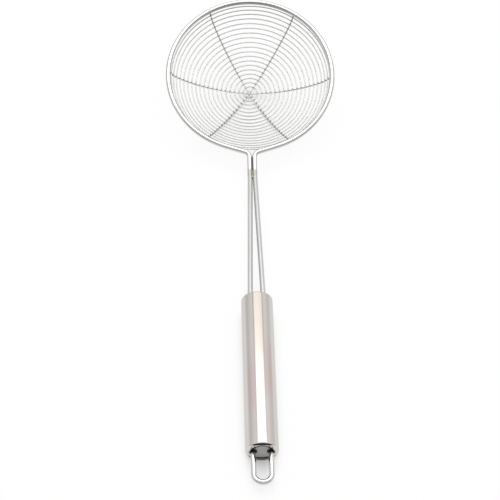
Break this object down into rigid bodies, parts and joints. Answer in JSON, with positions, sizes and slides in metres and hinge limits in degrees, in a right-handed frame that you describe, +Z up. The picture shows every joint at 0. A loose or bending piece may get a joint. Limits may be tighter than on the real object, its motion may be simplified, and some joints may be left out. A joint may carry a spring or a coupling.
{
  "type": "spider skimmer",
  "caption": "Wire spider skimmer with a dished basket of spiral wire on ribs, a heavy hoop bent into legs, and a hollow steel grip with a hanging loop.",
  "frame": {"origin": "on the table, under the middle of the skimmer's box as it lies put down", "axes": "+Z up from the table, +Y from the hanging loop towards the bowl, +X to the right seen from the loop"},
  "size_m": [0.14, 0.442, 0.0617],
  "materials": {
    "wire": "bright polished stainless wire",
    "mesh": "bright drawn stainless wire",
    "grip": "satin stainless tube",
    "plug": "dull grey pressed steel",
    "weld": "tinted weld"
  },
  "bodies": {
    "root": {"frame_wire": "wire", "neck_weld": "weld", "hub_weld": "weld", "rib_end_welds": "weld", "mesh_spiral": "mesh", "mesh_end_welds": "weld", "handle_tube": "grip", "front_plug": "plug", "leg_welds": "weld", "tail_plug": "plug", "loop_welds": "weld", "hanging_loop": "wire", "rib_1": "mesh", "rib_2": "mesh", "rib_3": "mesh", "rib_4": "mesh", "rib_5": "mesh", "rib_6": "mesh"}
  },
  "joints": []
}
